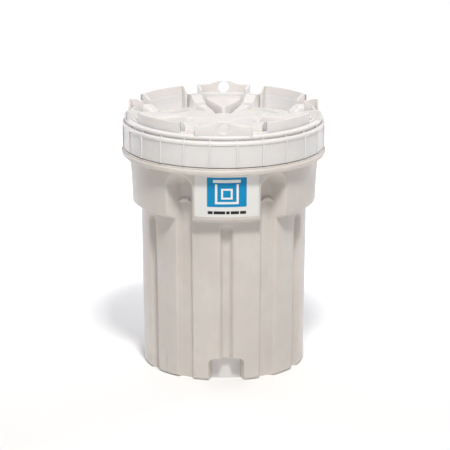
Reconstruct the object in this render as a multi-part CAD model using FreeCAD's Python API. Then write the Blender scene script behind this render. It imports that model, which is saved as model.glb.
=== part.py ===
import FreeCAD, Part
import math
import os

# Overpack salvage drum: a moulded polyethylene drum that a smaller leaking drum is put into,
# closed by a coarse-threaded screw lid on a flat gasket. Millimetres, +Z up, origin at the
# centre of the base, the lid's front tab towards -Y. Radii are measured from the drum's axis.

# ---- Drum shell ------------------------------------------------------------------------------
WALL = 6.0                # moulded wall of drum and lid
BASE_T = 8.0              # thickness of the drum's floor
BASE_RISE = 3.0           # how far the middle of the base stands off the ground
FOOT_R_IN = 168.0         # inner edge of the ring that the drum stands on
LAND_R_BASE = 217.0       # smooth wall between the flutes, at the base
LAND_R_TOP = 223.0        # the same wall just under the shoulder
SHOULDER_ROOT_Z = 440.0   # where the wall turns out to the shoulder
SHOULDER_LOW_Z = 450.0    # lower edge of the shoulder
SHOULDER_R_LOW = 247.0
SHOULDER_R_TOP = 254.0
FLANGE_Z = 574.0          # underside of the stop flange
BEAD_R = 273.0            # rolled bead round the flange
BEAD_TOP_Z = 589.0
FLANGE_R = 269.0
FLANGE_TOP_Z = 595.0
NECK_R = 257.0            # threaded neck inside the lid's skirt
NECK_R_IN = 250.5
RIM_Z = 655.0             # top of the neck, which the gasket seals on

BODY_TURN = 2.0           # the drum's front sits this many degrees round from the lid's front

# ---- Flutes ----------------------------------------------------------------------------------
FLUTE_STEP = 30.0         # twelve flutes round the wall, low and high ones by turns
FLUTE_DEPTH = 14.0
FLUTE_R_BASE = LAND_R_BASE - FLUTE_DEPTH
FLUTE_R_TOP = LAND_R_TOP - FLUTE_DEPTH
LOW_HALF = 9.5            # half width of a low flute's floor
LOW_ARCH_Z = 414.0        # centre of the arch that ends it, under the shoulder
LOW_SLOPE = 1.7           # steepness of its side walls, radius over width
HIGH_HALF = 14.0          # the high flutes run on up through the shoulder
HIGH_ARCH_Z = 529.0
HIGH_SLOPE = 1.55
BUMP_T = 6.0              # small shelf across a high flute's floor
BUMP_Z = 486.0
BUMP_TOP_Z = 499.0
CUT_R_IN = 195.0          # inner and outer ends of the tapered tools that cut flutes
CUT_R_OUT = 262.0

NOTCH_HALF = 47.0         # hand grips in the base, front and back
NOTCH_Z = 57.0
NOTCH_CROWN = 5.0
NOTCH_DEPTH = 32.0

# ---- Thread ----------------------------------------------------------------------------------
PITCH = 20.0              # rise of the lid per turn
RIDGE_ROOT = 8.0          # axial width of a thread ridge at its root and at its crest
RIDGE_CREST = 4.0
NECK_CREST_R = 261.8
LID_CREST_R = 258.2
NECK_THREAD_Z = 609.0     # where the neck's ridge starts, at its middle
NECK_THREAD_TURNS = 1.7
LID_THREAD_Z = 603.0
LID_THREAD_TURNS = 1.5
FLANK_GAP = 1.0           # play between the ridges' flanks when the lid is tight
BITE = 1.2                # depth of a ridge's root inside its wall

# ---- Lid -------------------------------------------------------------------------------------
SKIRT_R = 268.7
SKIRT_R_IN = 263.0
SKIRT_Z = 597.0
SKIRT_TOP_Z = 655.0
BROW_R = 271.0            # rounded shoulder over the skirt
GROOVE_R = 262.0
LEDGE_R = 266.0
LEDGE_Z = 679.0
SEAT_Z = 660.0            # face above the gasket
LIP_R = 248.5             # lip inside the neck that centres the gasket
LIP_R_IN = 243.0
LIP_Z = 645.0
RIB_COUNT = 24
RIB_R = 272.0
RIB_W = 4.5

DECK_T = 6.0
DECK_Z = 669.0            # hub and spokes, level across the deck
DAM_R_IN = 246.0          # low ring that the tabs and walls stand on
DAM_R = 253.0
DAM_Z = 684.0
HUB_R = 88.0              # plain round middle of the deck
SPOKE_LOW = 14.5          # eight spokes lie this many degrees from each tab's middle
SPOKE_HIGH = 22.5
SILL_R_IN = 213.0         # raised sill at a spoke's end, in the gap beside each tab
SILL_R_TOE = 191.0        # where the sill's ramp starts
SILL_Z = 686.0
SILL_LOW = 16.0
SILL_HIGH = 24.5

PAD_Z = 676.0             # flat top of the arrow-shaped pad in front of each tab
PAD_TIP = 94.0            # the pad's point, from the lid's middle
PAD_FLARE = 23.7          # half angle of its point, in degrees
PAD_HALF = 47.0
MOAT_Z = 656.0            # floor of the recess that the pad stands in
POCKET_R_IN = 108.0       # pockets between the spokes sink towards the curved walls
POCKET_FALL = 0.15        # fall of a pocket's floor, per millimetre outwards
RECESS_R = 244.0          # outer end of moats and pockets

TAB_Y = 255.0             # outer face of the flat tabs
TAB_T = 6.0
TAB_HALF = 75.0
TAB_FOOT_Z = 676.0        # rooted in the ledge, clear of the groove under it
TAB_Z = 706.0
HUMP_Z = 718.0
HUMP_HALF = 40.0
TAB_HOLE_R = 14.0
TAB_HOLE_Z = 699.0
RETURN_L = 34.0           # short walls that turn in from each tab's ends

ARC_R = 253.0             # curved walls between the tabs
ARC_HALF = 18.5           # half of the angle that each one spans
ARC_Z = 709.0
ARC_RETURN_L = 28.0
ARC_RETURN_DROP = 14.0    # how far the top of a return falls towards the middle
ARC_RETURN_FOOT_Z = 648.0  # these stand on the pocket's floor, the tabs' returns on the deck
ROOT_Z = 664.0            # how deep the curved walls and the returns are rooted in the lid

# ---- Gasket and label ------------------------------------------------------------------------
SEAL_GAP = 0.3
SEAL_R_IN = 249.6
SEAL_R = 257.6
LABEL_T = 0.4
LABEL_HALF_ANGLE = 19.5
LABEL_Z_LOW = 460.0
LABEL_Z_TOP = 572.0

V = FreeCAD.Vector
ORIGIN = V(0, 0, 0)
Z_AXIS = V(0, 0, 1)


# ---- Small tools -----------------------------------------------------------------------------
def outline(corners):
    """Closed wire in the XZ plane through (x, z, radius) corners, each rounded to its radius."""
    places = [V(x, 0, z) for x, z, radius in corners]
    bends = []
    for index, here in enumerate(places):
        radius = corners[index][2]
        if radius == 0:
            bends.append((here, None, here))
            continue
        back = (places[index - 1] - here).normalize()
        ahead = (places[(index + 1) % len(places)] - here).normalize()
        half = back.getAngle(ahead) / 2
        setback = radius / math.tan(half)
        middle = here + (back + ahead).normalize() * (radius / math.sin(half) - radius)
        bends.append((here + back * setback, middle, here + ahead * setback))
    edges = []
    for index, (start, middle, end) in enumerate(bends):
        if middle is not None:
            edges.append(Part.Arc(start, middle, end).toShape())
        following = bends[(index + 1) % len(bends)][0]
        if (following - end).Length > 1e-6:
            edges.append(Part.LineSegment(end, following).toShape())
    return Part.Wire(edges)


def revolved(corners, degrees=360.0):
    """Solid turned about the drum's axis from (r, z, radius) corners."""
    return Part.Face(outline(corners)).revolve(ORIGIN, Z_AXIS, degrees)


def slab(corners, thickness):
    """Plate whose outline lies in the XZ plane, centred on that plane."""
    plate = Part.Face(outline(corners)).extrude(V(0, thickness, 0))
    plate.translate(V(0, -thickness / 2, 0))
    return plate


def turned(shape, degrees):
    """Copy of a shape, turned about the drum's axis."""
    copy = shape.copy()
    copy.rotate(ORIGIN, Z_AXIS, degrees)
    return copy


def ring_of(shape, angles):
    return [turned(shape, angle) for angle in angles]


def mirrored(half):
    """Corners of a symmetric outline from its right half, listed from the bottom up."""
    return half + [(-x, z, radius) for x, z, radius in reversed(half)]


def tapered_flute(half, slope, arch_z, floor_r, floor):
    """Arched cutting tool facing -Y, half wide each side at floor_r, that stops at the floor."""
    wires = []
    for radius in (CUT_R_IN, CUT_R_OUT):
        width = half + (radius - floor_r) / slope
        wire = outline(mirrored([(width, -20, 0), (width, arch_z + width, width * 0.9)]))
        wire.translate(V(0, -radius, 0))
        wires.append(wire)
    return Part.makeLoft(wires, True, True).cut(floor)


def thread_ridge(root_r, crest_r, middle_z, turns):
    """Right-handed ridge that climbs PITCH per turn from middle_z, root first."""
    profile = Part.makePolygon([
        V(root_r, 0, -RIDGE_ROOT / 2),
        V(crest_r, 0, -RIDGE_CREST / 2),
        V(crest_r, 0, RIDGE_CREST / 2),
        V(root_r, 0, RIDGE_ROOT / 2),
        V(root_r, 0, -RIDGE_ROOT / 2),
    ])
    path = Part.makeHelix(PITCH, PITCH * turns, root_r)
    ridge = Part.Wire(path).makePipeShell([profile], True, True)
    ridge.translate(V(0, 0, middle_z))
    return ridge


# ---- Drum ------------------------------------------------------------------------------------
def flute_floor(grow):
    """Body of revolution that the floors of the flutes lie on."""
    return revolved([
        (0, -30, 0),
        (FLUTE_R_BASE - grow, -30, 0),
        (FLUTE_R_TOP - grow, BUMP_Z, 0),
        (FLUTE_R_TOP - grow, FLANGE_TOP_Z, 0),
        (0, FLANGE_TOP_Z, 0),
    ])


def shelf(grow):
    """Ring that leaves the small shelf across the high flutes' floors."""
    floor_r = FLUTE_R_TOP - grow
    return revolved([
        (floor_r - 1, BUMP_Z, 0),
        (floor_r + BUMP_T, BUMP_Z + 6, 0),
        (floor_r + BUMP_T, BUMP_TOP_Z, 0),
        (floor_r - 1, BUMP_TOP_Z + 1, 0),
    ])


def low_flute(grow):
    half = LOW_HALF + grow
    return tapered_flute(half, LOW_SLOPE, LOW_ARCH_Z, FLUTE_R_TOP - grow, flute_floor(grow))


def high_flute(grow):
    half = HIGH_HALF + grow
    floor = flute_floor(grow).fuse(shelf(grow))
    return tapered_flute(half, HIGH_SLOPE, HIGH_ARCH_Z, FLUTE_R_TOP - grow, floor)


def hand_notch(grow):
    """Arched grip in the base, open downwards."""
    width = NOTCH_HALF + grow
    roof = NOTCH_Z + grow
    depth = NOTCH_DEPTH + grow
    corners = mirrored([(width, -20, 0), (width, roof, 5)])
    corners.insert(2, (0, roof + NOTCH_CROWN, 0))
    block = slab(corners, 2 * depth)
    block.translate(V(0, -LAND_R_BASE, 0))
    return block


def recesses(grow):
    """Every recess of the drum's wall, each grown by the wall's thickness for the cavity."""
    low_angles = [FLUTE_STEP * step for step in range(0, 12, 2)]
    high_angles = [FLUTE_STEP * step for step in range(1, 12, 2)]
    cuts = ring_of(low_flute(grow), low_angles) + ring_of(high_flute(grow), high_angles)
    cuts += ring_of(hand_notch(grow), (0.0, 180.0))
    return cuts


def drum_body():
    outside = revolved([
        (0, BASE_RISE, 0),
        (FOOT_R_IN, BASE_RISE, 0),
        (FOOT_R_IN + 6, 0, 0),
        (LAND_R_BASE, 0, 8),
        (LAND_R_TOP, SHOULDER_ROOT_Z, 5),
        (SHOULDER_R_LOW, SHOULDER_LOW_Z, 6),
        (SHOULDER_R_TOP, FLANGE_Z, 0),
        (BEAD_R, FLANGE_Z + 2, 5),
        (BEAD_R, BEAD_TOP_Z, 4),
        (FLANGE_R, BEAD_TOP_Z + 1, 0),
        (FLANGE_R, FLANGE_TOP_Z, 0),
        (NECK_R, FLANGE_TOP_Z, 0),
        (NECK_R, RIM_Z, 0),
        (NECK_R_IN, RIM_Z, 0),
        (NECK_R_IN, RIM_Z - 10, 0),
        (0, RIM_Z - 10, 0),
    ])
    cavity = revolved([
        (0, BASE_T, 0),
        (LAND_R_BASE - WALL, BASE_T, 12),
        (LAND_R_TOP - WALL, SHOULDER_ROOT_Z + WALL, 0),
        (SHOULDER_R_LOW - WALL, SHOULDER_LOW_Z + WALL, 0),
        (SHOULDER_R_TOP - WALL, FLANGE_Z, 0),
        (NECK_R_IN, FLANGE_TOP_Z, 0),
        (NECK_R_IN, RIM_Z + 5, 0),
        (0, RIM_Z + 5, 0),
    ])
    cavity = cavity.cut(recesses(WALL))
    shell = outside.cut(recesses(0.0) + [cavity])
    shell = turned(shell, BODY_TURN)
    ridge = thread_ridge(NECK_R - BITE, NECK_CREST_R, NECK_THREAD_Z, NECK_THREAD_TURNS)
    return shell.fuse(ridge).removeSplitter()


def front_label():
    """Sticker on the front panel of the shoulder."""
    slope = (SHOULDER_R_TOP - SHOULDER_R_LOW) / (FLANGE_Z - SHOULDER_LOW_Z)
    low = SHOULDER_R_LOW + slope * (LABEL_Z_LOW - SHOULDER_LOW_Z)
    high = SHOULDER_R_LOW + slope * (LABEL_Z_TOP - SHOULDER_LOW_Z)
    sheet = revolved([
        (low, LABEL_Z_LOW, 0),
        (low + LABEL_T, LABEL_Z_LOW, 0),
        (high + LABEL_T, LABEL_Z_TOP, 0),
        (high, LABEL_Z_TOP, 0),
    ], 2 * LABEL_HALF_ANGLE)
    return turned(sheet, -90 - LABEL_HALF_ANGLE + BODY_TURN)


# ---- Lid -------------------------------------------------------------------------------------
def lid_shell():
    """Skirt, brow, ledge, gasket seat and dished deck, as one turned section."""
    return revolved([
        (0, DECK_Z - DECK_T, 0),
        (LIP_R_IN, DECK_Z - DECK_T, 0),
        (LIP_R_IN, LIP_Z, 0),
        (LIP_R, LIP_Z, 0),
        (LIP_R, SEAT_Z, 0),
        (SKIRT_R_IN, SEAT_Z, 0),
        (SKIRT_R_IN, SKIRT_Z, 0),
        (SKIRT_R, SKIRT_Z, 0),
        (SKIRT_R, SKIRT_TOP_Z, 0),
        (BROW_R, SKIRT_TOP_Z + 2, 0),
        (BROW_R, SKIRT_TOP_Z + 9, 4),
        (GROOVE_R, SKIRT_TOP_Z + 11, 0),
        (GROOVE_R, SKIRT_TOP_Z + 16, 0),
        (LEDGE_R, SKIRT_TOP_Z + 17.5, 0),
        (LEDGE_R, LEDGE_Z, 3),
        (DAM_R, LEDGE_Z, 0),
        (DAM_R, DAM_Z, 0),
        (DAM_R_IN, DAM_Z, 0),
        (RECESS_R, DECK_Z, 0),
        (0, DECK_Z, 0),
    ])


def grip_rib():
    """Upright rib on the skirt that runs on over the brow to the ledge's edge, facing -Y."""
    rib = slab([
        (GROOVE_R - 3, SKIRT_TOP_Z, 0),
        (SKIRT_R - 2, SKIRT_TOP_Z - 2, 0),
        (SKIRT_R - 2, SKIRT_Z + 0.5, 0),
        (RIB_R, SKIRT_Z + 0.5, 1.5),
        (RIB_R, SKIRT_TOP_Z + 4, 5),
        (LEDGE_R - 0.3, SKIRT_TOP_Z + 13, 3),
        (LEDGE_R - 0.3, LEDGE_Z - 4, 0),
        (GROOVE_R - 3, LEDGE_Z - 4, 0),
    ], RIB_W)
    return turned(rib, -90)


def sector(section, low, high):
    """Part turn of an (r, z) section, from low to high degrees round from -Y."""
    corners = [(r, z, 0) for r, z in section]
    return turned(revolved(corners, high - low), -90 + low)


def pad_outline(grow):
    """Arrow that points at the lid's middle, as (x, y) corners."""
    tip = PAD_TIP - grow / math.sin(math.radians(PAD_FLARE))
    half = PAD_HALF + grow
    shoulder = tip + half / math.tan(math.radians(PAD_FLARE))
    return [(0, -tip), (half, -shoulder), (half, -RECESS_R), (-half, -RECESS_R), (-half, -shoulder)]


def pad():
    """Raised pad in front of the front tab, standing on its moat's floor."""
    wires = []
    for grow, z in ((4.0, MOAT_Z - 1), (0.0, PAD_Z)):
        corners = [V(x, y, z) for x, y in pad_outline(grow)]
        wires.append(Part.makePolygon(corners + corners[:1]))
    return Part.makeLoft(wires, True, True)


def moat(grow):
    """Level recess round a pad; grown, it is the plastic under that recess."""
    top = DECK_Z - 1 if grow else DECK_Z + 1
    floor_z = MOAT_Z - grow
    inner = HUB_R - grow
    section = [(inner, floor_z), (RECESS_R, floor_z), (RECESS_R, top), (inner, top)]
    spread = SPOKE_LOW + math.degrees(grow / HUB_R) / 2
    return sector(section, -spread, spread)


def pocket(grow):
    """Wedge between two spokes that deepens outwards; grown, the plastic under it."""
    top = DECK_Z - 1 if grow else DECK_Z + 1
    inner = POCKET_R_IN - grow
    floor_in = DECK_Z - grow - 0.5
    floor_out = DECK_Z - grow - POCKET_FALL * (RECESS_R - POCKET_R_IN)
    section = [(inner, floor_in), (RECESS_R, floor_out), (RECESS_R, top), (inner, top)]
    spread = 45 - SPOKE_HIGH + math.degrees(grow / RECESS_R)
    return sector(section, -spread, spread)


def sill(side):
    """Raised end of a spoke, in the gap between a tab and a curved wall."""
    section = [
        (SILL_R_TOE, DECK_Z - 2),
        (DAM_R - 1, DECK_Z - 2),
        (DAM_R - 1, SILL_Z),
        (SILL_R_IN, SILL_Z),
        (SILL_R_TOE, DECK_Z),
    ]
    low, high = sorted((side * SILL_LOW, side * SILL_HIGH))
    return sector(section, low, high)


def tab_plate():
    """Flat upright tab with a humped top and a round hole, facing -Y."""
    hump = HUMP_Z - TAB_Z
    corners = [
        (TAB_HALF, TAB_FOOT_Z, 0),
        (TAB_HALF, TAB_Z, 2),
        (HUMP_HALF, TAB_Z + 1, 60),
        (HUMP_HALF * 0.42, HUMP_Z - hump * 0.08, 12),
    ]
    plate = slab(mirrored(corners), TAB_T)
    hole = Part.makeCylinder(TAB_HOLE_R, 4 * TAB_T, V(0, -2 * TAB_T, TAB_HOLE_Z), V(0, 1, 0))
    plate = plate.cut(hole)
    plate.translate(V(0, -TAB_Y + TAB_T / 2, 0))
    return plate


def end_return(radius, length, foot_z, top_z, drop, angle, side):
    """Short radial wall that runs inwards from radius; side is +1 or -1, where it lies."""
    corners = [
        (radius - length, foot_z, 0),
        (RECESS_R + 2, foot_z, 0),
        (RECESS_R + 2, ROOT_Z, 0),
        (radius, ROOT_Z, 0),
        (radius, top_z, 0),
        (radius - length * 0.45, top_z, 5),
        (radius - length, top_z - drop, 4),
    ]
    wall = slab(corners, TAB_T)
    wall.translate(V(0, side * -TAB_T / 2, 0))
    return turned(wall, -90 + angle)


def tab():
    """Tab with its two end returns, facing -Y."""
    corner_r = math.hypot(TAB_Y - TAB_T, TAB_HALF)
    angle = math.degrees(math.atan2(TAB_HALF, TAB_Y - TAB_T))
    sides = [
        end_return(corner_r, RETURN_L, ROOT_Z, TAB_Z - 1, 4, side * angle, side)
        for side in (-1, 1)
    ]
    return tab_plate().fuse(sides)


def arc_wall():
    """Curved wall with its two sloping end returns, centred on -Y."""
    section = [
        (ARC_R - TAB_T, ROOT_Z),
        (ARC_R, ROOT_Z),
        (ARC_R, ARC_Z),
        (ARC_R - TAB_T, ARC_Z),
    ]
    wall = sector(section, -ARC_HALF, ARC_HALF)
    shape = (ARC_R - 2, ARC_RETURN_L, ARC_RETURN_FOOT_Z, ARC_Z, ARC_RETURN_DROP)
    sides = [end_return(*shape, side * ARC_HALF, side) for side in (-1, 1)]
    return wall.fuse(sides)


def screw_lid():
    quarter = (0, 90, 180, 270)
    diagonal = (45, 135, 225, 315)
    ribs = ring_of(grip_rib(), [360 / RIB_COUNT * (count + 0.5) for count in range(RIB_COUNT)])
    lid = lid_shell().fuse(ring_of(pocket(WALL), diagonal) + ring_of(moat(WALL), quarter))
    lid = lid.cut(ring_of(pocket(0.0), diagonal) + ring_of(moat(0.0), quarter))
    uprights = ring_of(tab(), quarter) + ring_of(arc_wall(), diagonal)
    low_parts = ring_of(pad(), quarter) + ring_of(sill(1), quarter) + ring_of(sill(-1), quarter)
    lid = lid.fuse(ribs + low_parts + uprights)
    ridge = thread_ridge(SKIRT_R_IN + BITE, LID_CREST_R, LID_THREAD_Z, LID_THREAD_TURNS)
    drop = (RIDGE_ROOT + RIDGE_CREST) / 2 + FLANK_GAP
    ridge = turned(ridge, 360 * (LID_THREAD_Z + drop - NECK_THREAD_Z) / PITCH)
    return lid.fuse(ridge).removeSplitter()


def lid_gasket():
    return revolved([
        (SEAL_R_IN, RIM_Z + SEAL_GAP, 0),
        (SEAL_R, RIM_Z + SEAL_GAP, 0),
        (SEAL_R, SEAT_Z - SEAL_GAP, 0),
        (SEAL_R_IN, SEAT_Z - SEAL_GAP, 0),
    ])


def main():
    os.makedirs("parts", exist_ok=True)
    nodes = {
        "drum_body": drum_body(),
        "screw_lid": screw_lid(),
        "lid_gasket": lid_gasket(),
        "front_label": front_label(),
    }
    for name, shape in nodes.items():
        shape.exportStep("parts/" + name + ".step")
        print(name, "solids", len(shape.Solids), "valid", shape.isValid(),
              "cm3", round(shape.Volume / 1000))


main()
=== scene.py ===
import math

import bmesh
import bpy
import numpy as np
from mathutils import Matrix, Vector


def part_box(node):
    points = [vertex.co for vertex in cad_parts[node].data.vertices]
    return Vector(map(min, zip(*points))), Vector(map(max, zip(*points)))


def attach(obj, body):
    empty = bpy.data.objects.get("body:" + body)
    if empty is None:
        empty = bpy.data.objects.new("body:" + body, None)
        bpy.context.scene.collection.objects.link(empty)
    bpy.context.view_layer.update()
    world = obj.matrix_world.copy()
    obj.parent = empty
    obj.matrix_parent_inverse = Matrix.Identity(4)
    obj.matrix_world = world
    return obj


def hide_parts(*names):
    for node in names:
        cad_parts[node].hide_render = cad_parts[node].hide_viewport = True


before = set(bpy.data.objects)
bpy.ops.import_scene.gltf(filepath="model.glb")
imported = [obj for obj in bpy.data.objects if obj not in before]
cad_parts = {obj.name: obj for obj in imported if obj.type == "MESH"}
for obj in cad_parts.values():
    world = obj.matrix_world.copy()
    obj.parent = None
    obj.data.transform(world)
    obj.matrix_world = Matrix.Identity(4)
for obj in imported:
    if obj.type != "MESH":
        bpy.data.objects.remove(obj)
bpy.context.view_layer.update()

# Lengths are in millimetres until a mesh is made, which scales them by MM.
MM = 0.001


def node_top(node):
    """Height of a CAD node's highest point."""
    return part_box(node)[1].z / MM


def node_low(node):
    """Height of a CAD node's lowest point."""
    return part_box(node)[0].z / MM


# ---- Drum ------------------------------------------------------------------------------------
WALL = 6.0
BASE_T = 8.0
BASE_RISE = 3.0
FOOT_R_IN = 168.0
LAND_R_BASE = 217.0
LAND_R_TOP = 223.0
SHOULDER_ROOT_Z = 440.0
SHOULDER_LOW_Z = 450.0
SHOULDER_R_LOW = 247.0
SHOULDER_R_TOP = 254.0
FLANGE_Z = 574.0
BEAD_R = 272.8
BEAD_TOP_Z = 589.0
FLANGE_R = 269.0
FLANGE_TOP_Z = 595.0
NECK_R = 257.0
NECK_R_IN = 250.5
RIM_Z = node_top("drum_body")
BODY_TURN = 2.0               # the drum's front sits this far round from the lid's front

FLUTE_STEP = 30.0
FLUTE_FLOOR_R = 203.0
FLUTE_RISE = 6.0              # outward lean of wall and flute floors over the wall's height
LOW_FLUTE = {"half": 9.5, "slope": 1.7, "arch_z": 414.0}
HIGH_FLUTE = {"half": 14.0, "slope": 1.55, "arch_z": 529.0}
BUMP_T = 6.0                  # small shelf across a high flute's floor
BUMP_Z = 486.0
BUMP_TOP_Z = 499.0
HOOD = 30.0                   # larger makes that shelf straighter

NOTCH_HALF = 44.0             # measured round the wall, so narrower further in
NOTCH_Z = 54.0
NOTCH_CROWN = 5.0
NOTCH_FLOOR = 185.0
NOTCH_SLOPE = 8.0             # steepness of its sides
NOTCH_REACH = 0.4             # radians round from its middle, beyond which there is no notch

# ---- Threads ---------------------------------------------------------------------------------
PITCH = 20.0
RIDGE_ROOT = 8.0
RIDGE_CREST = 4.0
NECK_THREAD = {"root": NECK_R, "crest": 261.6, "z": 609.0, "turns": 1.7, "start": 0.0}
LID_THREAD = {"root": 263.0, "crest": 258.4, "z": 603.0, "turns": 1.5, "start": 18.0}

# ---- Lid -------------------------------------------------------------------------------------
SKIRT_R = 268.7
SKIRT_R_IN = 263.0
SKIRT_Z = node_low("screw_lid")
SKIRT_TOP_Z = 655.0
BROW_R = 271.0
GROOVE_R = 262.0
LEDGE_R = 266.0
LEDGE_Z = 679.0
SEAT_Z = 660.0
LIP_R = 248.5
LIP_R_IN = 243.0
LIP_Z = 645.0
RIB_COUNT = 24
RIB_R = 272.0
RIB_W = 4.5

DECK_Z = 669.0
DECK_T = 6.0
DAM_R_IN = 246.0
DAM_R = 253.0
DAM_Z = 684.0
HUB_R = 88.0
SPOKE_LOW = 14.5
SPOKE_HIGH = 22.5
SILL_TOE = 191.0
SILL_R = 213.0
SILL_Z = 686.0
SILL_LOW = 16.0
SILL_HIGH = 24.5
PAD_Z = 676.0
PAD_TIP = 94.0
PAD_FLARE = 23.7
PAD_HALF = 47.0
MOAT_Z = 656.0
POCKET_R_IN = 108.0
POCKET_FALL = 0.15
RECESS_R = 244.0

TAB_Y = 255.0
TAB_T = 6.0
TAB_HALF = 75.0
TAB_Z = 706.0
TAB_FOOT_Z = 676.0
HUMP_Z = node_top("screw_lid")
HUMP_HALF = 40.0
HUMP_TOP_HALF = 15.0
TAB_HOLE_R = 14.0
TAB_HOLE_Z = 699.0
RETURN_L = 34.0
ARC_R = 253.0
ARC_HALF = 18.5
ARC_Z = 709.0
ARC_RETURN_L = 28.0
ARC_RETURN_DROP = 14.0
ARC_FOOT_Z = 648.0
ROOT_Z = 664.0

# ---- Camera, in metres and degrees -----------------------------------------------------------
CAMERA_PLACE = (0.0038, -6.5, 2.17)
CAMERA_TILT = 15.47           # how far it looks down
SENSOR = 36.0
LENS = 199.3

# ---- Gasket and label ------------------------------------------------------------------------
SEAL_R_IN = 249.6
LABEL_HALF_ANGLE = 19.5
FILM = {"lift": 0.05, "thickness": 0.3}      # printed layers, one over the other
INK = {"lift": 0.36, "thickness": 0.12}
SIGN_INK = {"lift": 0.49, "thickness": 0.1}
PANEL_HALF = 52.0
BAR_WIDTHS = (13.0, 30.0, 9.0, 22.0, 16.0)
BAR_GAP = 2.6

QUARTERS = (0.0, 90.0, 180.0, 270.0)
FRONT = -90.0                 # direction of the front, in degrees anticlockwise from +X


# ---- Numeric tools ---------------------------------------------------------------------------
def smooth_min(a, b, width):
    """The smaller of a and b, rounded where they are within width of each other."""
    blend = np.clip(0.5 + 0.5 * (b - a) / width, 0.0, 1.0)
    return b + (a - b) * blend - width * blend * (1.0 - blend)


def smooth_max(a, b, width):
    return -smooth_min(-a, -b, width)


def packed(low, high, step, spots):
    """Values from low to high about a step apart, closer near each (place, half width, step)."""
    fine = np.linspace(low, high, 20001)
    density = np.full_like(fine, 1.0 / step)
    for place, half, near_step in spots:
        near = np.abs(fine - place) < half
        density[near] = np.maximum(density[near], 1.0 / near_step)
    total = np.concatenate([[0.0], np.cumsum((density[1:] + density[:-1]) / 2 * np.diff(fine))])
    return np.interp(np.linspace(0.0, total[-1], int(round(total[-1])) + 1), total, fine)


def bend(before, corner, after, radius, parts):
    """Points of the arc that rounds a corner."""
    back = (before - corner) / np.linalg.norm(before - corner)
    ahead = (after - corner) / np.linalg.norm(after - corner)
    half = math.acos(float(np.clip(back @ ahead, -1.0, 1.0))) / 2
    centre = corner + (back + ahead) / np.linalg.norm(back + ahead) * radius / math.sin(half)
    start = corner + back * radius / math.tan(half) - centre
    end = corner + ahead * radius / math.tan(half) - centre
    ways = [start * (1 - part) + end * part for part in np.linspace(0.0, 1.0, parts + 1)]
    return [centre + way * radius / np.linalg.norm(way) for way in ways]


def section(corners, parts=3):
    """Open path through (r, z, radius, step) corners; step is for the run that ends there."""
    places = [np.array(corner[:2], float) for corner in corners]
    points = [places[0]]
    for index in range(1, len(corners)):
        radius, step = corners[index][2:]
        arc = [places[index]]
        if radius > 0:
            arc = bend(places[index - 1], places[index], places[index + 1], radius, parts)
        start = points[-1]
        runs = max(1, math.ceil(np.linalg.norm(arc[0] - start) / step))
        points += [start + (arc[0] - start) * run / runs for run in range(1, runs)]
        points += arc
    return np.array(points)


def rounded_outline(corners, parts=4):
    """Closed outline through (x, y, radius) corners."""
    places = [np.array(corner[:2], float) for corner in corners]
    points = []
    for index, corner in enumerate(corners):
        if corner[2] == 0:
            points.append(places[index])
            continue
        following = places[(index + 1) % len(places)]
        points += bend(places[index - 1], places[index], following, corner[2], parts)
    return np.array(points)


def mirrored(half):
    """Corners of a symmetric outline from its right half, listed from the bottom up."""
    return half + [(-x, z, radius) for x, z, radius in reversed(half)]


# ---- Meshes ----------------------------------------------------------------------------------
class Moulding:
    """Closed skins that make up one piece, in millimetres."""

    def __init__(self):
        self.points = []
        self.faces = []
        self.count = 0

    def add(self, points, faces):
        self.faces += [[corner + self.count for corner in face] for face in faces]
        self.points.append(np.asarray(points, float).reshape(-1, 3))
        self.count += len(self.points[-1])

    def add_turned(self, skin, angles):
        """Copies of a (points, faces) skin that faces -Y, turned about the drum's axis."""
        points, faces = skin
        for angle in angles:
            turn = np.array(Matrix.Rotation(math.radians(angle), 3, "Z"))
            self.add(points @ turn.T, faces)

    def mesh(self, name, sharp=38.0):
        mesh = bpy.data.meshes.new(name)
        mesh.from_pydata((np.concatenate(self.points) * MM).tolist(), [], self.faces)
        mesh.validate()
        mesh.shade_smooth()
        mesh.set_sharp_from_angle(angle=math.radians(sharp))
        return mesh


def turned_skin(r, z, angles):
    """Skin of (rows, columns) radii and heights turned about the axis, open at both ends."""
    turn = np.radians(angles)
    rows, columns = r.shape
    points = np.stack([r * np.cos(turn), r * np.sin(turn), z], -1).reshape(-1, 3)
    faces = []
    for row in range(rows - 1):
        for column in range(columns):
            here = row * columns + column
            beside = row * columns + (column + 1) % columns
            faces.append([here, beside, beside + columns, here + columns])
    return points, faces


def with_poles(r, z, angles):
    """The same, with a fan from the axis to the first and to the last row."""
    points, faces = turned_skin(r, z, angles)
    rows, columns = r.shape
    first, last = len(points), len(points) + 1
    points = np.vstack([points, [[0, 0, z[0].mean()], [0, 0, z[-1].mean()]]])
    start = (rows - 1) * columns
    for column in range(columns):
        beside = (column + 1) % columns
        faces.append([first, beside, column])
        faces.append([start + column, start + beside, last])
    return points, faces


def closed_ring(path, angles):
    """Skin of a closed (r, z) section turned all the way round."""
    r = np.repeat(path[:, :1], len(angles), 1)
    z = np.repeat(path[:, 1:], len(angles), 1)
    points, faces = turned_skin(r, z, angles)
    columns = len(angles)
    start = (len(path) - 1) * columns
    for column in range(columns):
        beside = (column + 1) % columns
        faces.append([start + column, start + beside, beside, column])
    return points, faces


def swept(sections):
    """Skin through a list of (n, 3) closed sections, with flat ends."""
    sections = np.asarray(sections)
    stations, corners = sections.shape[:2]
    faces = []
    for station in range(stations - 1):
        for corner in range(corners):
            here = station * corners + corner
            beside = station * corners + (corner + 1) % corners
            faces.append([here, here + corners, beside + corners, beside])
    faces.append(list(range(corners)))
    faces.append([(stations - 1) * corners + corner for corner in reversed(range(corners))])
    return sections.reshape(-1, 3), faces


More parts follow.
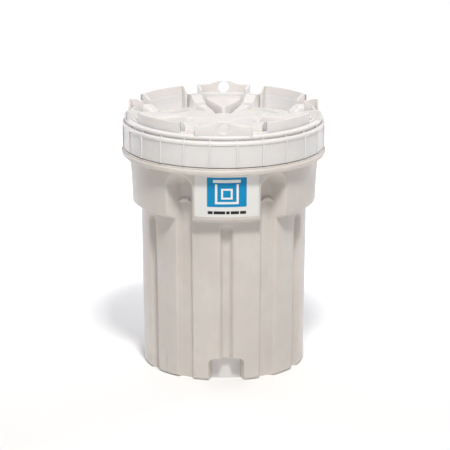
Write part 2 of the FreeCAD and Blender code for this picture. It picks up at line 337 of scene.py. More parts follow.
def slab(outline, thickness, edge):
    """Plate with rounded edges whose (x, z) outline faces -Y, centred on the XZ plane."""
    shape = bmesh.new()
    low = [shape.verts.new((x, -thickness / 2, z)) for x, z in outline]
    face = shape.faces.new(low)
    grown = bmesh.ops.extrude_face_region(shape, geom=[face])["geom"]
    bmesh.ops.translate(shape, vec=(0, thickness, 0), verts=[g for g in grown if hasattr(g, "co")])
    bmesh.ops.recalc_face_normals(shape, faces=shape.faces[:])
    return beveled(shape, edge)


def beveled(shape, edge, steps=3):
    """Points and faces of a bmesh once its sharp edges are rounded."""
    sharp = [line for line in shape.edges if line.calc_face_angle(0.0) > math.radians(28)]
    bmesh.ops.bevel(shape, geom=sharp, offset=edge, segments=steps, profile=0.5,
                    affect="EDGES", clamp_overlap=True)
    return unpacked(shape)


def unpacked(shape):
    shape.verts.index_update()
    points = np.array([tuple(vertex.co) for vertex in shape.verts])
    faces = [[vertex.index for vertex in face.verts] for face in shape.faces]
    shape.free()
    return points, faces


def thread_ridge(thread):
    """Right-handed ridge that fades in and out at its ends, as closed sections of a sweep."""
    stations = int(thread["turns"] * 120)
    fade = 5
    sections = []
    for station in range(stations + 1):
        share = min(1.0, (min(station, stations - station) + 0.25) / fade)
        turn = math.radians(thread["start"] + 360 * thread["turns"] * station / stations)
        middle = thread["z"] + PITCH * thread["turns"] * station / stations
        rise = (thread["crest"] - thread["root"]) * share
        inset = -0.8 * np.sign(rise)
        profile = [
            (thread["root"] + inset, -RIDGE_ROOT / 2 - 0.4),
            (thread["root"] + 0.15 * rise, -RIDGE_ROOT / 2),
            (thread["root"] + 0.85 * rise, -RIDGE_CREST / 2 - 0.5),
            (thread["root"] + rise, -RIDGE_CREST / 2 + 0.6),
            (thread["root"] + rise, RIDGE_CREST / 2 - 0.6),
            (thread["root"] + 0.85 * rise, RIDGE_CREST / 2 + 0.5),
            (thread["root"] + 0.15 * rise, RIDGE_ROOT / 2),
            (thread["root"] + inset, RIDGE_ROOT / 2 + 0.4),
        ]
        if rise < 0:
            profile = profile[::-1]
        sections.append([(r * math.cos(turn), r * math.sin(turn), middle + up)
                         for r, up in profile])
    return swept(sections)


# ---- Drum shell ------------------------------------------------------------------------------
def land_r(z):
    """Radius of the smooth wall between the flutes."""
    return LAND_R_BASE + FLUTE_RISE * z / SHOULDER_ROOT_Z


def shoulder_r(z):
    """Radius of the shoulder that overhangs the wall."""
    slope = (SHOULDER_R_TOP - SHOULDER_R_LOW) / (FLANGE_Z - SHOULDER_LOW_Z)
    return SHOULDER_R_LOW + slope * (z - SHOULDER_LOW_Z)


def flute_r(x, z, flute, bump, grow):
    """Radius of an arched flute's surface at x across it; grow widens and deepens it."""
    top = z + x * x / HOOD
    rise = np.interp(top, (BUMP_Z, BUMP_Z + 8, BUMP_TOP_Z - 2, BUMP_TOP_Z + 3), (0, bump, bump, 0))
    floor = FLUTE_FLOOR_R + FLUTE_RISE * z / SHOULDER_ROOT_Z - grow
    away = np.hypot(x, np.maximum(z - flute["arch_z"], 0)) - flute["half"] - grow
    return smooth_max(floor + rise, floor + flute["slope"] * away, 3.0)


def carve(profile_r, z, local, grow):
    """Wall radius with its recesses pressed in. Local is degrees round from the drum's front,
    and grow is the wall's thickness on the inside and 0 on the outside."""
    number = np.round(local / FLUTE_STEP)
    offset = np.radians(local - number * FLUTE_STEP)
    r = profile_r
    for _ in range(5):
        low = flute_r(r * offset, z, LOW_FLUTE, 0.0, grow)
        high = flute_r(r * offset, z, HIGH_FLUTE, BUMP_T, grow)
        r = smooth_min(profile_r, np.where(number % 2 == 1, high, low), 4.0)
    turn = np.radians((local + 90) % 180 - 90)
    x = profile_r * np.sin(turn)
    roof = NOTCH_Z + NOTCH_CROWN * np.maximum(1 - (x / NOTCH_HALF) ** 2, 0)
    across = np.abs(x) - NOTCH_HALF - grow
    corner = np.hypot(np.maximum(across + 5, 0), np.maximum(z - roof - grow + 5, 0)) - 5
    notch_r = (NOTCH_FLOOR - grow) / np.cos(turn) + NOTCH_SLOPE * smooth_max(corner, 0.0, 1.0)
    return smooth_min(r, np.where(np.abs(turn) < NOTCH_REACH, notch_r, 2 * r), 3.0)


def drum_columns():
    """Degrees round from the drum's front, closer together at the walls of its recesses."""
    spots = []
    for number in range(-7, 8):
        middle = number * FLUTE_STEP
        if number % 2:
            spots += [(middle - 6.3, 3.4, 0.5), (middle + 6.3, 3.4, 0.5)]
        else:
            spots += [(middle - 3.7, 1.5, 0.45), (middle + 3.7, 1.5, 0.45)]
    for middle in (-180.0, 0.0, 180.0):
        spots += [(middle - 12.2, 1.1, 0.2), (middle + 12.2, 1.1, 0.2)]
    return packed(-180.0, 180.0, 1.7, spots)[:-1]


def drum_shell():
    """Base, wall, shoulder, flange, neck and inside as one skin, and the thread's ridge."""
    outer = section([
        (20, BASE_RISE, 0, 1),
        (FOOT_R_IN, BASE_RISE, 4, 30),
        (FOOT_R_IN + 6, 0, 4, 3),
        (LAND_R_BASE, 0, 8, 5),
        (land_r(48), 48, 0, 4),
        (land_r(70), 70, 0, 1.5),
        (land_r(404), 404, 0, 16),
        (LAND_R_TOP, SHOULDER_ROOT_Z, 5, 2),
        (SHOULDER_R_LOW, SHOULDER_LOW_Z, 6, 1.6),
        (shoulder_r(504), 504, 0, 1.6),
        (shoulder_r(535), 535, 0, 4),
        (SHOULDER_R_TOP, FLANGE_Z, 3.5, 2),
        (BEAD_R, FLANGE_Z + 2, 5, 4),
        (BEAD_R, BEAD_TOP_Z, 4.5, 3),
        (FLANGE_R, BEAD_TOP_Z + 1, 1.0, 2),
        (FLANGE_R, FLANGE_TOP_Z, 1.5, 3),
        (NECK_R, FLANGE_TOP_Z, 1.5, 6),
        (NECK_R, RIM_Z, 2.0, 12),
        (NECK_R_IN, RIM_Z, 2.0, 3),
        (NECK_R_IN, RIM_Z - 20, 0, 10),
    ], parts=4)
    inner = section([
        (NECK_R_IN, RIM_Z - 20, 0, 1),
        (NECK_R_IN, FLANGE_TOP_Z, 4, 12),
        (SHOULDER_R_TOP - WALL, FLANGE_Z, 4, 8),
        (SHOULDER_R_LOW - WALL, SHOULDER_LOW_Z + WALL, 6, 6),
        (LAND_R_TOP - WALL, SHOULDER_ROOT_Z + WALL, 5, 4),
        (land_r(400) - WALL, 400, 0, 6),
        (land_r(70) - WALL, 70, 0, 30),
        (LAND_R_BASE - WALL, BASE_T, 12, 6),
        (150, BASE_T, 0, 20),
        (20, BASE_T, 0, 40),
    ])
    local = drum_columns()
    skins = []
    for path, grow in ((outer, 0.0), (inner[1:], WALL)):
        r = np.repeat(path[:, :1], len(local), 1)
        z = np.repeat(path[:, 1:], len(local), 1)
        pressed = carve(r, z, local[None, :], grow)
        wall = (z < FLANGE_Z - 4) & (r > FOOT_R_IN + 8)
        skins.append((np.where(wall, np.minimum(pressed, r), r), z))
    r = np.vstack([skin[0] for skin in skins])
    z = np.vstack([skin[1] for skin in skins])
    shell = Moulding()
    shell.add(*with_poles(r, z, local + FRONT + BODY_TURN))
    shell.add(*thread_ridge(NECK_THREAD))
    return shell.mesh("drum_shell")


# ---- Lid -------------------------------------------------------------------------------------
def deck_height(r, angle):
    """Height of the deck's upper face, without its sills."""
    off = np.abs((angle + 45.0) % 90.0 - 45.0)
    into_moat = np.minimum(r - HUB_R, r * np.radians(SPOKE_LOW - off))
    moat = smooth_max(MOAT_Z, DECK_Z - 3.5 * np.maximum(into_moat, 0), 4.0)
    into_pocket = np.minimum(r - POCKET_R_IN, r * np.radians(off - SPOKE_HIGH))
    floor = DECK_Z - POCKET_FALL * np.maximum(r - POCKET_R_IN, 0)
    pocket = smooth_max(floor, DECK_Z - 3.5 * np.maximum(into_pocket, 0), 4.0)
    return np.where(off < SPOKE_LOW, moat, np.where(off > SPOKE_HIGH, pocket, DECK_Z))


def sill_height(r, angle):
    """Height of the sills that rise from the deck, and minus infinity inside their toe."""
    off = np.abs((angle + 45.0) % 90.0 - 45.0)
    side = np.minimum(r * np.radians(off - SILL_LOW), r * np.radians(SILL_HIGH - off))
    top = DECK_Z + (SILL_Z - DECK_Z) * np.clip((r - SILL_TOE) / (SILL_R - SILL_TOE), 0, 1)
    return np.where(r > SILL_TOE, top + 6.0 * np.minimum(side, 0.0), -np.inf)


def lid_shell():
    """Deck, dam, ledge, groove, brow, skirt, gasket seat and lip, as one turned skin."""
    spots = []
    for quarter in (-180.0, -90.0, 0.0, 90.0, 180.0):
        for side in (-1, 1):
            spots += [(quarter + side * 15.0, 1.6, 0.4), (quarter + side * 23.6, 2.4, 0.4)]
    angles = packed(-180.0, 180.0, 2.0, spots)[:-1]
    under = section([
        (20, DECK_Z - DECK_T, 0, 1),
        (HUB_R - DECK_T, DECK_Z - DECK_T, 0, 20),
        (LIP_R_IN - 6, DECK_Z - DECK_T, 0, 15),
    ])
    side = section([
        (LIP_R_IN, LIP_Z + 4, 0, 1),
        (LIP_R_IN, LIP_Z, 1.5, 3),
        (LIP_R, LIP_Z, 1.5, 3),
        (LIP_R, SEAT_Z, 0.6, 8),
        (SKIRT_R_IN, SEAT_Z, 1.5, 4),
        (SKIRT_R_IN, SKIRT_Z, 1.5, 20),
        (SKIRT_R, SKIRT_Z, 2.0, 2),
        (SKIRT_R, SKIRT_TOP_Z, 1.0, 20),
        (BROW_R, SKIRT_TOP_Z + 2, 1.0, 2),
        (BROW_R, SKIRT_TOP_Z + 9, 4.5, 3),
        (GROOVE_R, SKIRT_TOP_Z + 11, 1.2, 4),
        (GROOVE_R, SKIRT_TOP_Z + 16, 1.2, 4),
        (LEDGE_R, SKIRT_TOP_Z + 17.5, 1.0, 3),
        (LEDGE_R, LEDGE_Z, 3.0, 4),
        (DAM_R, LEDGE_Z, 1.5, 5),
        (DAM_R, DAM_Z, 1.8, 4),
        (DAM_R_IN, DAM_Z, 1.8, 4),
        (DAM_R_IN - 0.8, DAM_Z - 6, 0, 5),
    ])
    deck_r = packed(12.0, RECESS_R, 7.0, [
        (HUB_R + 2, 5.0, 1.2), (POCKET_R_IN, 6, 2.5), (SILL_TOE, 4, 1.5), (SILL_R, 4, 1.5),
        (RECESS_R, 3.0, 1.0),
    ])[::-1]
    turn = angles[None, :]
    r_rows, z_rows = [], []
    r_rows.append(np.repeat(under[:, :1], len(angles), 1))
    z_rows.append(deck_height(r_rows[0], turn) - DECK_T)
    r_rows.append(np.repeat(side[:, :1], len(angles), 1))
    z_rows.append(np.repeat(side[:, 1:], len(angles), 1))
    deck = np.repeat(deck_r[:, None], len(angles), 1)
    r_rows.append(deck)
    top = smooth_max(deck_height(deck, turn), sill_height(deck, turn), 3.0)
    z_rows.append(np.minimum(top, DAM_Z + 2))
    return with_poles(np.vstack(r_rows), np.vstack(z_rows), angles)


def pad():
    """Arrow-shaped raised pad that stands in the front moat."""
    shape = bmesh.new()
    layers = []
    for grow, z in ((4.0, MOAT_Z - 3), (0.0, PAD_Z)):
        tip = PAD_TIP - grow / math.sin(math.radians(PAD_FLARE))
        half = PAD_HALF + grow
        shoulder = tip + half / math.tan(math.radians(PAD_FLARE))
        outline = rounded_outline([
            (0, -tip, 6), (half, -shoulder, 14), (half, -RECESS_R - 1, 0),
            (-half, -RECESS_R - 1, 0), (-half, -shoulder, 14),
        ])
        layers.append([shape.verts.new((x, y, z)) for x, y in outline])
    low, high = layers
    shape.faces.new(low)
    shape.faces.new(high)
    for index in range(len(low)):
        after = (index + 1) % len(low)
        shape.faces.new((low[index], low[after], high[after], high[index]))
    bmesh.ops.recalc_face_normals(shape, faces=shape.faces[:])
    return beveled(shape, 2.2)


def grip_rib():
    """Upright rib on the skirt that runs on over the brow to the ledge's edge."""
    outline = rounded_outline([
        (GROOVE_R - 2, SKIRT_TOP_Z, 0),
        (SKIRT_R - 1.5, SKIRT_TOP_Z - 2, 0),
        (SKIRT_R - 1.5, SKIRT_Z + 1, 0),
        (RIB_R, SKIRT_Z + 1, 1.5),
        (RIB_R, SKIRT_TOP_Z + 4, 5),
        (LEDGE_R - 0.3, SKIRT_TOP_Z + 13, 3),
        (LEDGE_R - 0.3, LEDGE_Z - 4, 0),
        (GROOVE_R - 2, LEDGE_Z - 4, 0),
    ])
    return faced_front(slab(outline, RIB_W, 1.2))


def faced_front(skin, angle=0.0):
    """A skin laid out along +X, turned so that it faces -Y, and then by an angle more."""
    points, faces = skin
    turn = np.array(Matrix.Rotation(math.radians(FRONT + angle), 3, "Z"))
    return points @ turn.T, faces


def end_return(radius, length, foot_z, top_z, drop, angle, side):
    """Short radial wall that runs inwards from radius."""
    outline = rounded_outline([
        (radius - length, foot_z, 0),
        (RECESS_R + 2, foot_z, 0),
        (RECESS_R + 2.1, ROOT_Z + 1, 0),
        (radius, ROOT_Z + 1, 0),
        (radius, top_z, 1.5),
        (radius - length * 0.45, top_z, 6),
        (radius - length, top_z - drop, 4),
    ])
    points, faces = slab(outline, TAB_T, 1.5)
    points = points + np.array([0, side * -TAB_T / 2, 0])
    return faced_front((points, faces), angle)


def tab_plate():
    """Flat upright tab with a humped top and a round hole that is rounded at both mouths."""
    hump = HUMP_Z - TAB_Z
    outline = rounded_outline(mirrored([
        (TAB_HALF, TAB_FOOT_Z, 0),
        (TAB_HALF, TAB_Z, 2.5),
        (HUMP_HALF, TAB_Z + 1, 50),
        (HUMP_TOP_HALF, HUMP_Z, 22),
    ]), parts=8)
    outline[:, 1] = np.minimum(outline[:, 1], HUMP_Z - 0.02 * hump)
    points, faces = slab(outline, TAB_T, 1.6)
    plate = bpy.data.meshes.new("plate")
    plate.from_pydata(points.tolist(), [], faces)
    mouth = [(TAB_HOLE_R + 6, 6.0), (TAB_HOLE_R + 1.6, 3.2), (TAB_HOLE_R + 0.7, 2.4),
             (TAB_HOLE_R + 0.15, 1.6), (TAB_HOLE_R, 0.8)]
    profile = mouth + [(r, -y) for r, y in reversed(mouth)]
    angles = np.arange(0, 360, 7.5)
    rings = np.array([[(r * math.cos(a), y, r * math.sin(a) + TAB_HOLE_Z)
                       for a in np.radians(angles)] for r, y in profile])
    cutter = bpy.data.meshes.new("cutter")
    cutter_points, cutter_faces = swept(rings)
    cutter.from_pydata(cutter_points.tolist(), [], cutter_faces)
    body = bpy.data.objects.new("plate", plate)
    tool = bpy.data.objects.new("cutter", cutter)
    for made in (body, tool):
        clean_normals(made.data)
        bpy.context.scene.collection.objects.link(made)
    cut = body.modifiers.new("hole", "BOOLEAN")
    cut.operation = "DIFFERENCE"
    cut.solver = "EXACT"
    cut.object = tool
    graph = bpy.context.evaluated_depsgraph_get()
    result = bmesh.new()
    result.from_object(body, graph)
    for made in (body, tool):
        bpy.data.objects.remove(made)
    points, faces = unpacked(result)
    return points + np.array([0, -TAB_Y + TAB_T / 2, 0]), faces


def clean_normals(mesh):
    """Turns every face of a mesh to look outwards."""
    shape = bmesh.new()
    shape.from_mesh(mesh)
    bmesh.ops.recalc_face_normals(shape, faces=shape.faces[:])
    shape.to_mesh(mesh)
    shape.free()


def arc_wall():
    """Curved wall between two tabs, with rounded upper edges."""
    inner = ARC_R - TAB_T
    profile = rounded_outline([
        (inner, ROOT_Z + 1, 0), (ARC_R, ROOT_Z + 1, 0), (ARC_R, ARC_Z, 1.8), (inner, ARC_Z, 1.8),
    ])
    sections = []
    for angle in np.radians(np.linspace(-ARC_HALF, ARC_HALF, 25) + FRONT):
        sections.append([(r * math.cos(angle), r * math.sin(angle), z) for r, z in profile])
    return swept(sections)


def lid_mesh():
    """Whole lid: shell, thread, ribs, pads, tabs, curved walls and their returned ends."""
    lid = Moulding()
    lid.add(*lid_shell())
    lid.add(*thread_ridge(LID_THREAD))
    lid.add_turned(grip_rib(), [360 / RIB_COUNT * (count + 0.5) for count in range(RIB_COUNT)])
    lid.add_turned(pad(), QUARTERS)
    lid.add_turned(tab_plate(), QUARTERS)
    corner_r = math.hypot(TAB_Y - TAB_T, TAB_HALF)
    corner = math.degrees(math.atan2(TAB_HALF, TAB_Y - TAB_T))
    for side in (-1, 1):
        tab_side = end_return(corner_r, RETURN_L, ROOT_Z, TAB_Z - 1, 4, side * corner, side)
        lid.add_turned(tab_side, QUARTERS)
        arc_side = end_return(ARC_R - 2, ARC_RETURN_L, ARC_FOOT_Z, ARC_Z, ARC_RETURN_DROP,
                              side * ARC_HALF, side)
        lid.add_turned(arc_side, [quarter + 45 for quarter in QUARTERS])
    lid.add_turned(arc_wall(), [quarter + 45 for quarter in QUARTERS])
    return lid.mesh("lid_moulding")


# ---- Gasket and label ------------------------------------------------------------------------
def gasket_mesh():
    """Flat ring with a shallow groove in each face."""
    low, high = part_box("lid_gasket")
    outer = high.x / MM - 0.1
    inner = SEAL_R_IN
    middle = (outer + inner) / 2
    bottom, top = low.z / MM, high.z / MM
    profile = rounded_outline([
        (inner, bottom, 1), (middle - 1.5, bottom, 0), (middle, bottom + 0.6, 0),
        (middle + 1.5, bottom, 0), (outer, bottom, 1), (outer, top, 1), (middle + 1.5, top, 0),
        (middle, top - 0.6, 0), (middle - 1.5, top, 0), (inner, top, 1),
    ])
    ring = Moulding()
    ring.add(*closed_ring(profile, np.arange(0, 360, 2.0)))
    return ring.mesh("gasket_ring")


def patch(low, high, corner, lift, thickness, rows=14, columns=28):
    """Thin sheet on the shoulder's front between two (across, height) corners, in millimetres.
    Across is measured along the surface from the drum's front; corner rounds its outline."""
    sheet = Moulding()
    z = np.linspace(low[1], high[1], rows)
    if corner > 0:
        ends = corner * (1 - np.cos(np.linspace(0, math.pi / 2, 5)))
        z = np.concatenate([low[1] + ends, np.linspace(low[1], high[1], rows)[2:-2],
                            high[1] - ends[::-1]])
    rest = np.clip(corner - np.minimum(z - low[1], high[1] - z), 0, corner)
    pinch = corner - np.sqrt(np.maximum(corner ** 2 - rest ** 2, 0))
    share = np.linspace(0, 1, columns)[None, :]
    across = (low[0] + pinch)[:, None] * (1 - share) + (high[0] - pinch)[:, None] * share
    height = np.repeat(z[:, None], columns, 1)
    layers = []
    for up in (lift, lift + thickness):
        r = shoulder_r(height) + up
        turn = across / shoulder_r(height) + math.radians(FRONT + BODY_TURN)
        layers.append(np.stack([r * np.cos(turn), r * np.sin(turn), height], -1))
    count = len(z) * columns
    faces = []
    for row in range(len(z) - 1):
        for column in range(columns - 1):
            here = row * columns + column
            quad = [here, here + 1, here + columns + 1, here + columns]
            faces.append(quad[::-1])
            faces.append([corner_index + count for corner_index in quad])
    rim = list(range(columns))
    rim += [row * columns + columns - 1 for row in range(1, len(z))]
    rim += [(len(z) - 1) * columns + column for column in range(columns - 2, -1, -1)]
    rim += [row * columns for row in range(len(z) - 2, 0, -1)]
    for index, here in enumerate(rim):
        after = rim[(index + 1) % len(rim)]
        faces.append([here, after, after + count, here + count])
    return np.concatenate(layers), faces


# ---- Materials -------------------------------------------------------------------------------
class Nodes:
    """Short way to lay out a material's nodes."""

    def __init__(self, name):
        self.material = bpy.data.materials.new(name)
        self.material.use_nodes = True
        self.tree = self.material.node_tree
        self.shader = self.tree.nodes["Principled BSDF"]
        self.place = self.add("ShaderNodeTexCoord").outputs["Object"]

    def add(self, kind, **values):
        node = self.tree.nodes.new(kind)
        for key, value in values.items():
            setattr(node, key, value)
        return node

    def link(self, source, target):
        self.tree.links.new(source, target)

    def noise(self, scale, detail=4.0, roughness=0.55, stretch=(1, 1, 1), shift=(0, 0, 0)):
        mapping = self.add("ShaderNodeMapping")
        mapping.inputs["Scale"].default_value = stretch
        mapping.inputs["Location"].default_value = shift
        self.link(self.place, mapping.inputs["Vector"])
        texture = self.add("ShaderNodeTexNoise")
        texture.inputs["Scale"].default_value = scale
        texture.inputs["Detail"].default_value = detail
        texture.inputs["Roughness"].default_value = roughness
        self.link(mapping.outputs["Vector"], texture.inputs["Vector"])
        return texture.outputs["Fac"]

    def span(self, value, low, high, to_low=0.0, to_high=1.0):
        node = self.add("ShaderNodeMapRange", interpolation_type="SMOOTHSTEP")
        for key, number in (("From Min", low), ("From Max", high),
                            ("To Min", to_low), ("To Max", to_high)):
            node.inputs[key].default_value = number
        self.link(value, node.inputs["Value"])
        return node.outputs["Result"]

    def sum(self, first, second, operation="ADD"):
        node = self.add("ShaderNodeMath", operation=operation)
        self.link(first, node.inputs[0])
        if isinstance(second, float):
            node.inputs[1].default_value = second
        else:
            self.link(second, node.inputs[1])
        return node.outputs[0]

    def mix(self, share, first, second):
        """Colour between two colours, each a tuple or another node's output."""
        node = self.add("ShaderNodeMix", data_type="RGBA")
        self.link(share, node.inputs["Factor"])
        for socket, colour in ((node.inputs[6], first), (node.inputs[7], second)):
            if isinstance(colour, tuple):
                socket.default_value = (*colour, 1.0)
            else:
                self.link(colour, socket)
        return node.outputs[2]

    def bump(self, height, distance, strength, under=None):
        node = self.add("ShaderNodeBump")
        node.inputs["Distance"].default_value = distance
        node.inputs["Strength"].default_value = strength
        self.link(height, node.inputs["Height"])
        if under is not None:
            self.link(under, node.inputs["Normal"])
        return node.outputs["Normal"]


def plastic(name, colour, shade, scuff, roughness, grain, flow, base_wear):
    """Moulded polyethylene: uneven milky colour, fine grain, sink marks and handling scuffs."""
    n = Nodes(name)
    cloud = n.span(n.noise(5.0, 3.0), 0.3, 0.7)
    mottle = n.span(n.noise(38.0, 5.0, shift=(3, 1, 7)), 0.35, 0.75)
    tone = n.mix(cloud, colour, shade)
    tone = n.mix(n.sum(mottle, 0.35, "MULTIPLY"), tone, tuple(0.97 * c for c in shade))
    scratch = n.span(n.noise(60.0, 6.0, 0.7, stretch=(1, 1, 0.12), shift=(5, 2, 9)), 0.62, 0.72)
    height = n.add("ShaderNodeSeparateXYZ")
    n.link(n.place, height.inputs[0])
    low = n.span(height.outputs["Z"], 0.0, 0.12, base_wear, 0.06)
    marks = n.sum(scratch, low, "MULTIPLY")
    dust = n.span(n.noise(14.0, 8.0, 0.65, shift=(8, 4, 2)), 0.45, 0.8)
    marks = n.sum(marks, n.sum(dust, n.sum(low, 0.5, "MULTIPLY"), "MULTIPLY"))
    n.link(n.mix(marks, tone, scuff), n.shader.inputs["Base Color"])
    polish = n.span(n.noise(11.0, 6.0, 0.6, shift=(1, 9, 4)), 0.3, 0.7,
                    roughness - 0.07, roughness + 0.08)
    n.link(n.sum(polish, n.sum(scratch, 0.08, "MULTIPLY")), n.shader.inputs["Roughness"])
    normal = n.bump(n.noise(9.0, 2.0, shift=(2, 6, 1)), flow, 1.0)
    normal = n.bump(n.noise(900.0, 3.0, 0.6), grain, 0.6, normal)
    normal = n.bump(scratch, 0.00012, 0.35, normal)
    n.link(normal, n.shader.inputs["Normal"])
    n.shader.inputs["IOR"].default_value = 1.5
    n.shader.inputs["Subsurface Weight"].default_value = 0.22
    n.shader.inputs["Subsurface Radius"].default_value = (0.020, 0.012, 0.006)
    n.shader.inputs["Subsurface Scale"].default_value = 0.5
    n.shader.subsurface_method = "RANDOM_WALK"
    return n.material


def vinyl(name, colour, shade, roughness):
    """Printed film: slight ink mottle, soft gloss and a faint ripple where it follows the drum."""
    n = Nodes(name)
    ink = n.span(n.noise(420.0, 4.0), 0.35, 0.7)
    haze = n.span(n.noise(16.0, 5.0, shift=(4, 4, 1)), 0.4, 0.8)
    tone = n.mix(n.sum(ink, 0.5, "MULTIPLY"), colour, shade)
    n.link(n.mix(n.sum(haze, 0.25, "MULTIPLY"), tone, shade), n.shader.inputs["Base Color"])
    n.link(n.span(haze, 0.0, 1.0, roughness, roughness + 0.12), n.shader.inputs["Roughness"])
    normal = n.bump(n.noise(22.0, 2.0, stretch=(1, 1, 0.4)), 0.0004, 0.7)
    n.link(n.bump(n.noise(1500.0, 2.0), 0.00003, 0.5, normal), n.shader.inputs["Normal"])
    n.shader.inputs["Specular IOR Level"].default_value = 0.25
    return n.material


def rubber(name):
    """Moulded gasket rubber: dull, faintly speckled, with patches of bloom."""
    n = Nodes(name)
    speck = n.span(n.noise(700.0, 5.0), 0.5, 0.75)
    bloom = n.span(n.noise(25.0, 4.0), 0.4, 0.8)
    tone = n.mix(n.sum(speck, 0.4, "MULTIPLY"), (0.022, 0.022, 0.024), (0.06, 0.06, 0.062))
    n.link(n.mix(n.sum(bloom, 0.3, "MULTIPLY"), tone, (0.1, 0.1, 0.1)),
           n.shader.inputs["Base Color"])
    n.link(n.span(bloom, 0.0, 1.0, 0.6, 0.75), n.shader.inputs["Roughness"])
    n.link(n.bump(n.noise(1100.0, 4.0), 0.00008, 0.6), n.shader.inputs["Normal"])
    return n.material


def floor_paint(name):
    """Plain white studio floor."""
    n = Nodes(name)
    cloud = n.span(n.noise(1.2, 3.0), 0.3, 0.7)
    n.link(n.mix(cloud, (0.93, 0.93, 0.93), (0.9, 0.9, 0.9)), n.shader.inputs["Base Color"])
    n.link(n.span(cloud, 0.0, 1.0, 0.6, 0.7), n.shader.inputs["Roughness"])
    n.shader.inputs["Specular IOR Level"].default_value = 0.2
    return n.material


# ---- Pieces ----------------------------------------------------------------------------------
def piece(mesh, material, body, slot, *nodes):
    """Object that rides on a body and replaces the CAD nodes given. The slot argument is not used.
    """
    made = bpy.data.objects.new(mesh.name, mesh)
    bpy.context.scene.collection.objects.link(made)
    mesh.materials.append(material)
    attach(made, body)
    if nodes:
        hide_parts(*nodes)
    return made


def printed(name, patches, layer, material, *nodes):
    """One printed layer of the sticker, from (low corner, high corner, rounding) patches."""
    sheet = Moulding()
    for low, high, corner in patches:
        sheet.add(*patch(low, high, corner, layer["lift"], layer["thickness"]))
    return piece(sheet.mesh(name), material, "drum", "label_vinyl", *nodes)


def label_pieces():
    """Front sticker: white film, a blue panel with a vessel-in-vessel sign, and plain bars."""
    low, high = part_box("front_label")
    bottom, top = low.z / MM, high.z / MM
    half = shoulder_r((bottom + top) / 2) * math.radians(LABEL_HALF_ANGLE)
    printed("label_film", [((-half, bottom), (half, top), 3.0)], FILM,
            vinyl("label_white", (0.80, 0.79, 0.77), (0.74, 0.73, 0.71), 0.32), "front_label")
    panel_low, panel_top = top - 84.0, top - 4.0
    printed("label_panel", [((-PANEL_HALF, panel_low), (PANEL_HALF, panel_top), 2.0)], INK,
            vinyl("ink_blue", (0.001, 0.27, 0.54), (0.001, 0.22, 0.46), 0.5))
    middle = (panel_low + panel_top) / 2
    sign = []
    for width, low_z, high_z, bar in ((31.0, middle - 32, middle + 22, 6.0),
                                      (15.0, middle - 19, middle + 10, 5.0)):
        sign += [
            ((-width, low_z), (-width + bar, high_z), 0.0),
            ((width - bar, low_z), (width, high_z), 0.0),
            ((-width + bar, low_z), (width - bar, low_z + bar), 0.0),
        ]
    sign += [
        ((-36.0, middle + 26), (36.0, middle + 34), 0.0),
        ((-10.0, middle + 5), (10.0, middle + 10), 0.0),
    ]
    printed("label_sign", sign, SIGN_INK,
            vinyl("ink_white", (0.86, 0.86, 0.85), (0.8, 0.8, 0.79), 0.3))
    bars = []
    start = -50.0
    for width in BAR_WIDTHS:
        bars.append(((start, bottom + 8.5), (start + width, bottom + 16.5), 0.0))
        start += width + BAR_GAP
    printed("label_bars", bars, INK,
            vinyl("ink_black", (0.014, 0.014, 0.016), (0.03, 0.03, 0.032), 0.35))


def stage_floor():
    """Floor that the drum stands on, which isn't part of it."""
    shape = bmesh.new()
    bmesh.ops.create_grid(shape, x_segments=8, y_segments=8, size=30.0)
    mesh = bpy.data.meshes.new("floor")
    shape.to_mesh(mesh)
    shape.free()
    mesh.materials.append(floor_paint("floor_white"))
    made = bpy.data.objects.new("floor", mesh)
    bpy.context.scene.collection.objects.link(made)


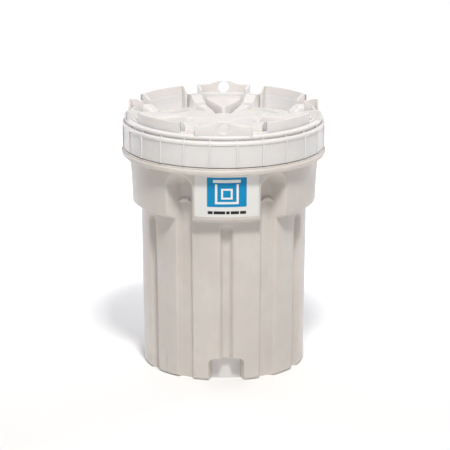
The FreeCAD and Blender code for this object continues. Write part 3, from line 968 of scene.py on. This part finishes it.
def softbox(name, place, target, size, power, colour):
    """Rectangular light at a place, turned to its target."""
    light = bpy.data.lights.new(name, "AREA")
    light.shape = "RECTANGLE"
    light.size, light.size_y = size
    light.energy = power
    light.color = colour
    lamp = bpy.data.objects.new(name, light)
    lamp.location = place
    lamp.rotation_euler = (Vector(target) - Vector(place)).to_track_quat("-Z", "Y").to_euler()
    bpy.context.scene.collection.objects.link(lamp)


def studio():
    """Even surround, a high key light, a wide light over the floor behind, and edge lights."""
    scene = bpy.context.scene
    world = bpy.data.worlds.new("studio")
    world.use_nodes = True
    world.node_tree.nodes["Background"].inputs["Color"].default_value = (1.0, 0.98, 0.97, 1.0)
    world.node_tree.nodes["Background"].inputs["Strength"].default_value = 0.34
    scene.world = world
    scene.view_settings.view_transform = "Standard"
    middle = (0.0, 0.0, 0.5)
    softbox("key", (0.2, -1.92, 3.5), middle, (0.5, 0.5), 108.0, (1.0, 0.985, 0.96))
    softbox("back", (0.0, 3.0, 3.2), (0.0, 5.2, 0.0), (7.0, 4.4), 260.0, (0.96, 0.97, 1.0))
    softbox("left_strip", (-2.3, 2.0, 0.9), middle, (0.5, 2.0), 16.0, (0.86, 0.87, 1.0))
    softbox("right_strip", (2.3, 2.0, 0.9), middle, (0.5, 2.0), 14.0, (0.86, 0.87, 1.0))


def camera():
    """Long lens that looks slightly down on the drum's front."""
    data = bpy.data.cameras.new("camera")
    data.sensor_width = SENSOR
    data.lens = LENS
    made = bpy.data.objects.new("camera", data)
    made.location = CAMERA_PLACE
    made.rotation_euler = (math.radians(90 - CAMERA_TILT), 0.0, 0.0)
    bpy.context.scene.collection.objects.link(made)
    bpy.context.scene.camera = made


def main():
    camera()
    studio()
    stage_floor()
    body = plastic("drum_plastic", (0.68, 0.635, 0.595), (0.62, 0.575, 0.535), (0.36, 0.33, 0.30),
                   0.40, 0.00010, 0.0020, 0.5)
    cover = plastic("lid_plastic", (0.785, 0.765, 0.755), (0.74, 0.72, 0.71), (0.45, 0.43, 0.41),
                    0.36, 0.00008, 0.0012, 0.1)
    piece(drum_shell(), body, "drum", "drum_plastic", "drum_body")
    piece(lid_mesh(), cover, "lid", "lid_plastic", "screw_lid")
    piece(gasket_mesh(), rubber("gasket_rubber"), "seal", "gasket_rubber", "lid_gasket")
    label_pieces()


main()
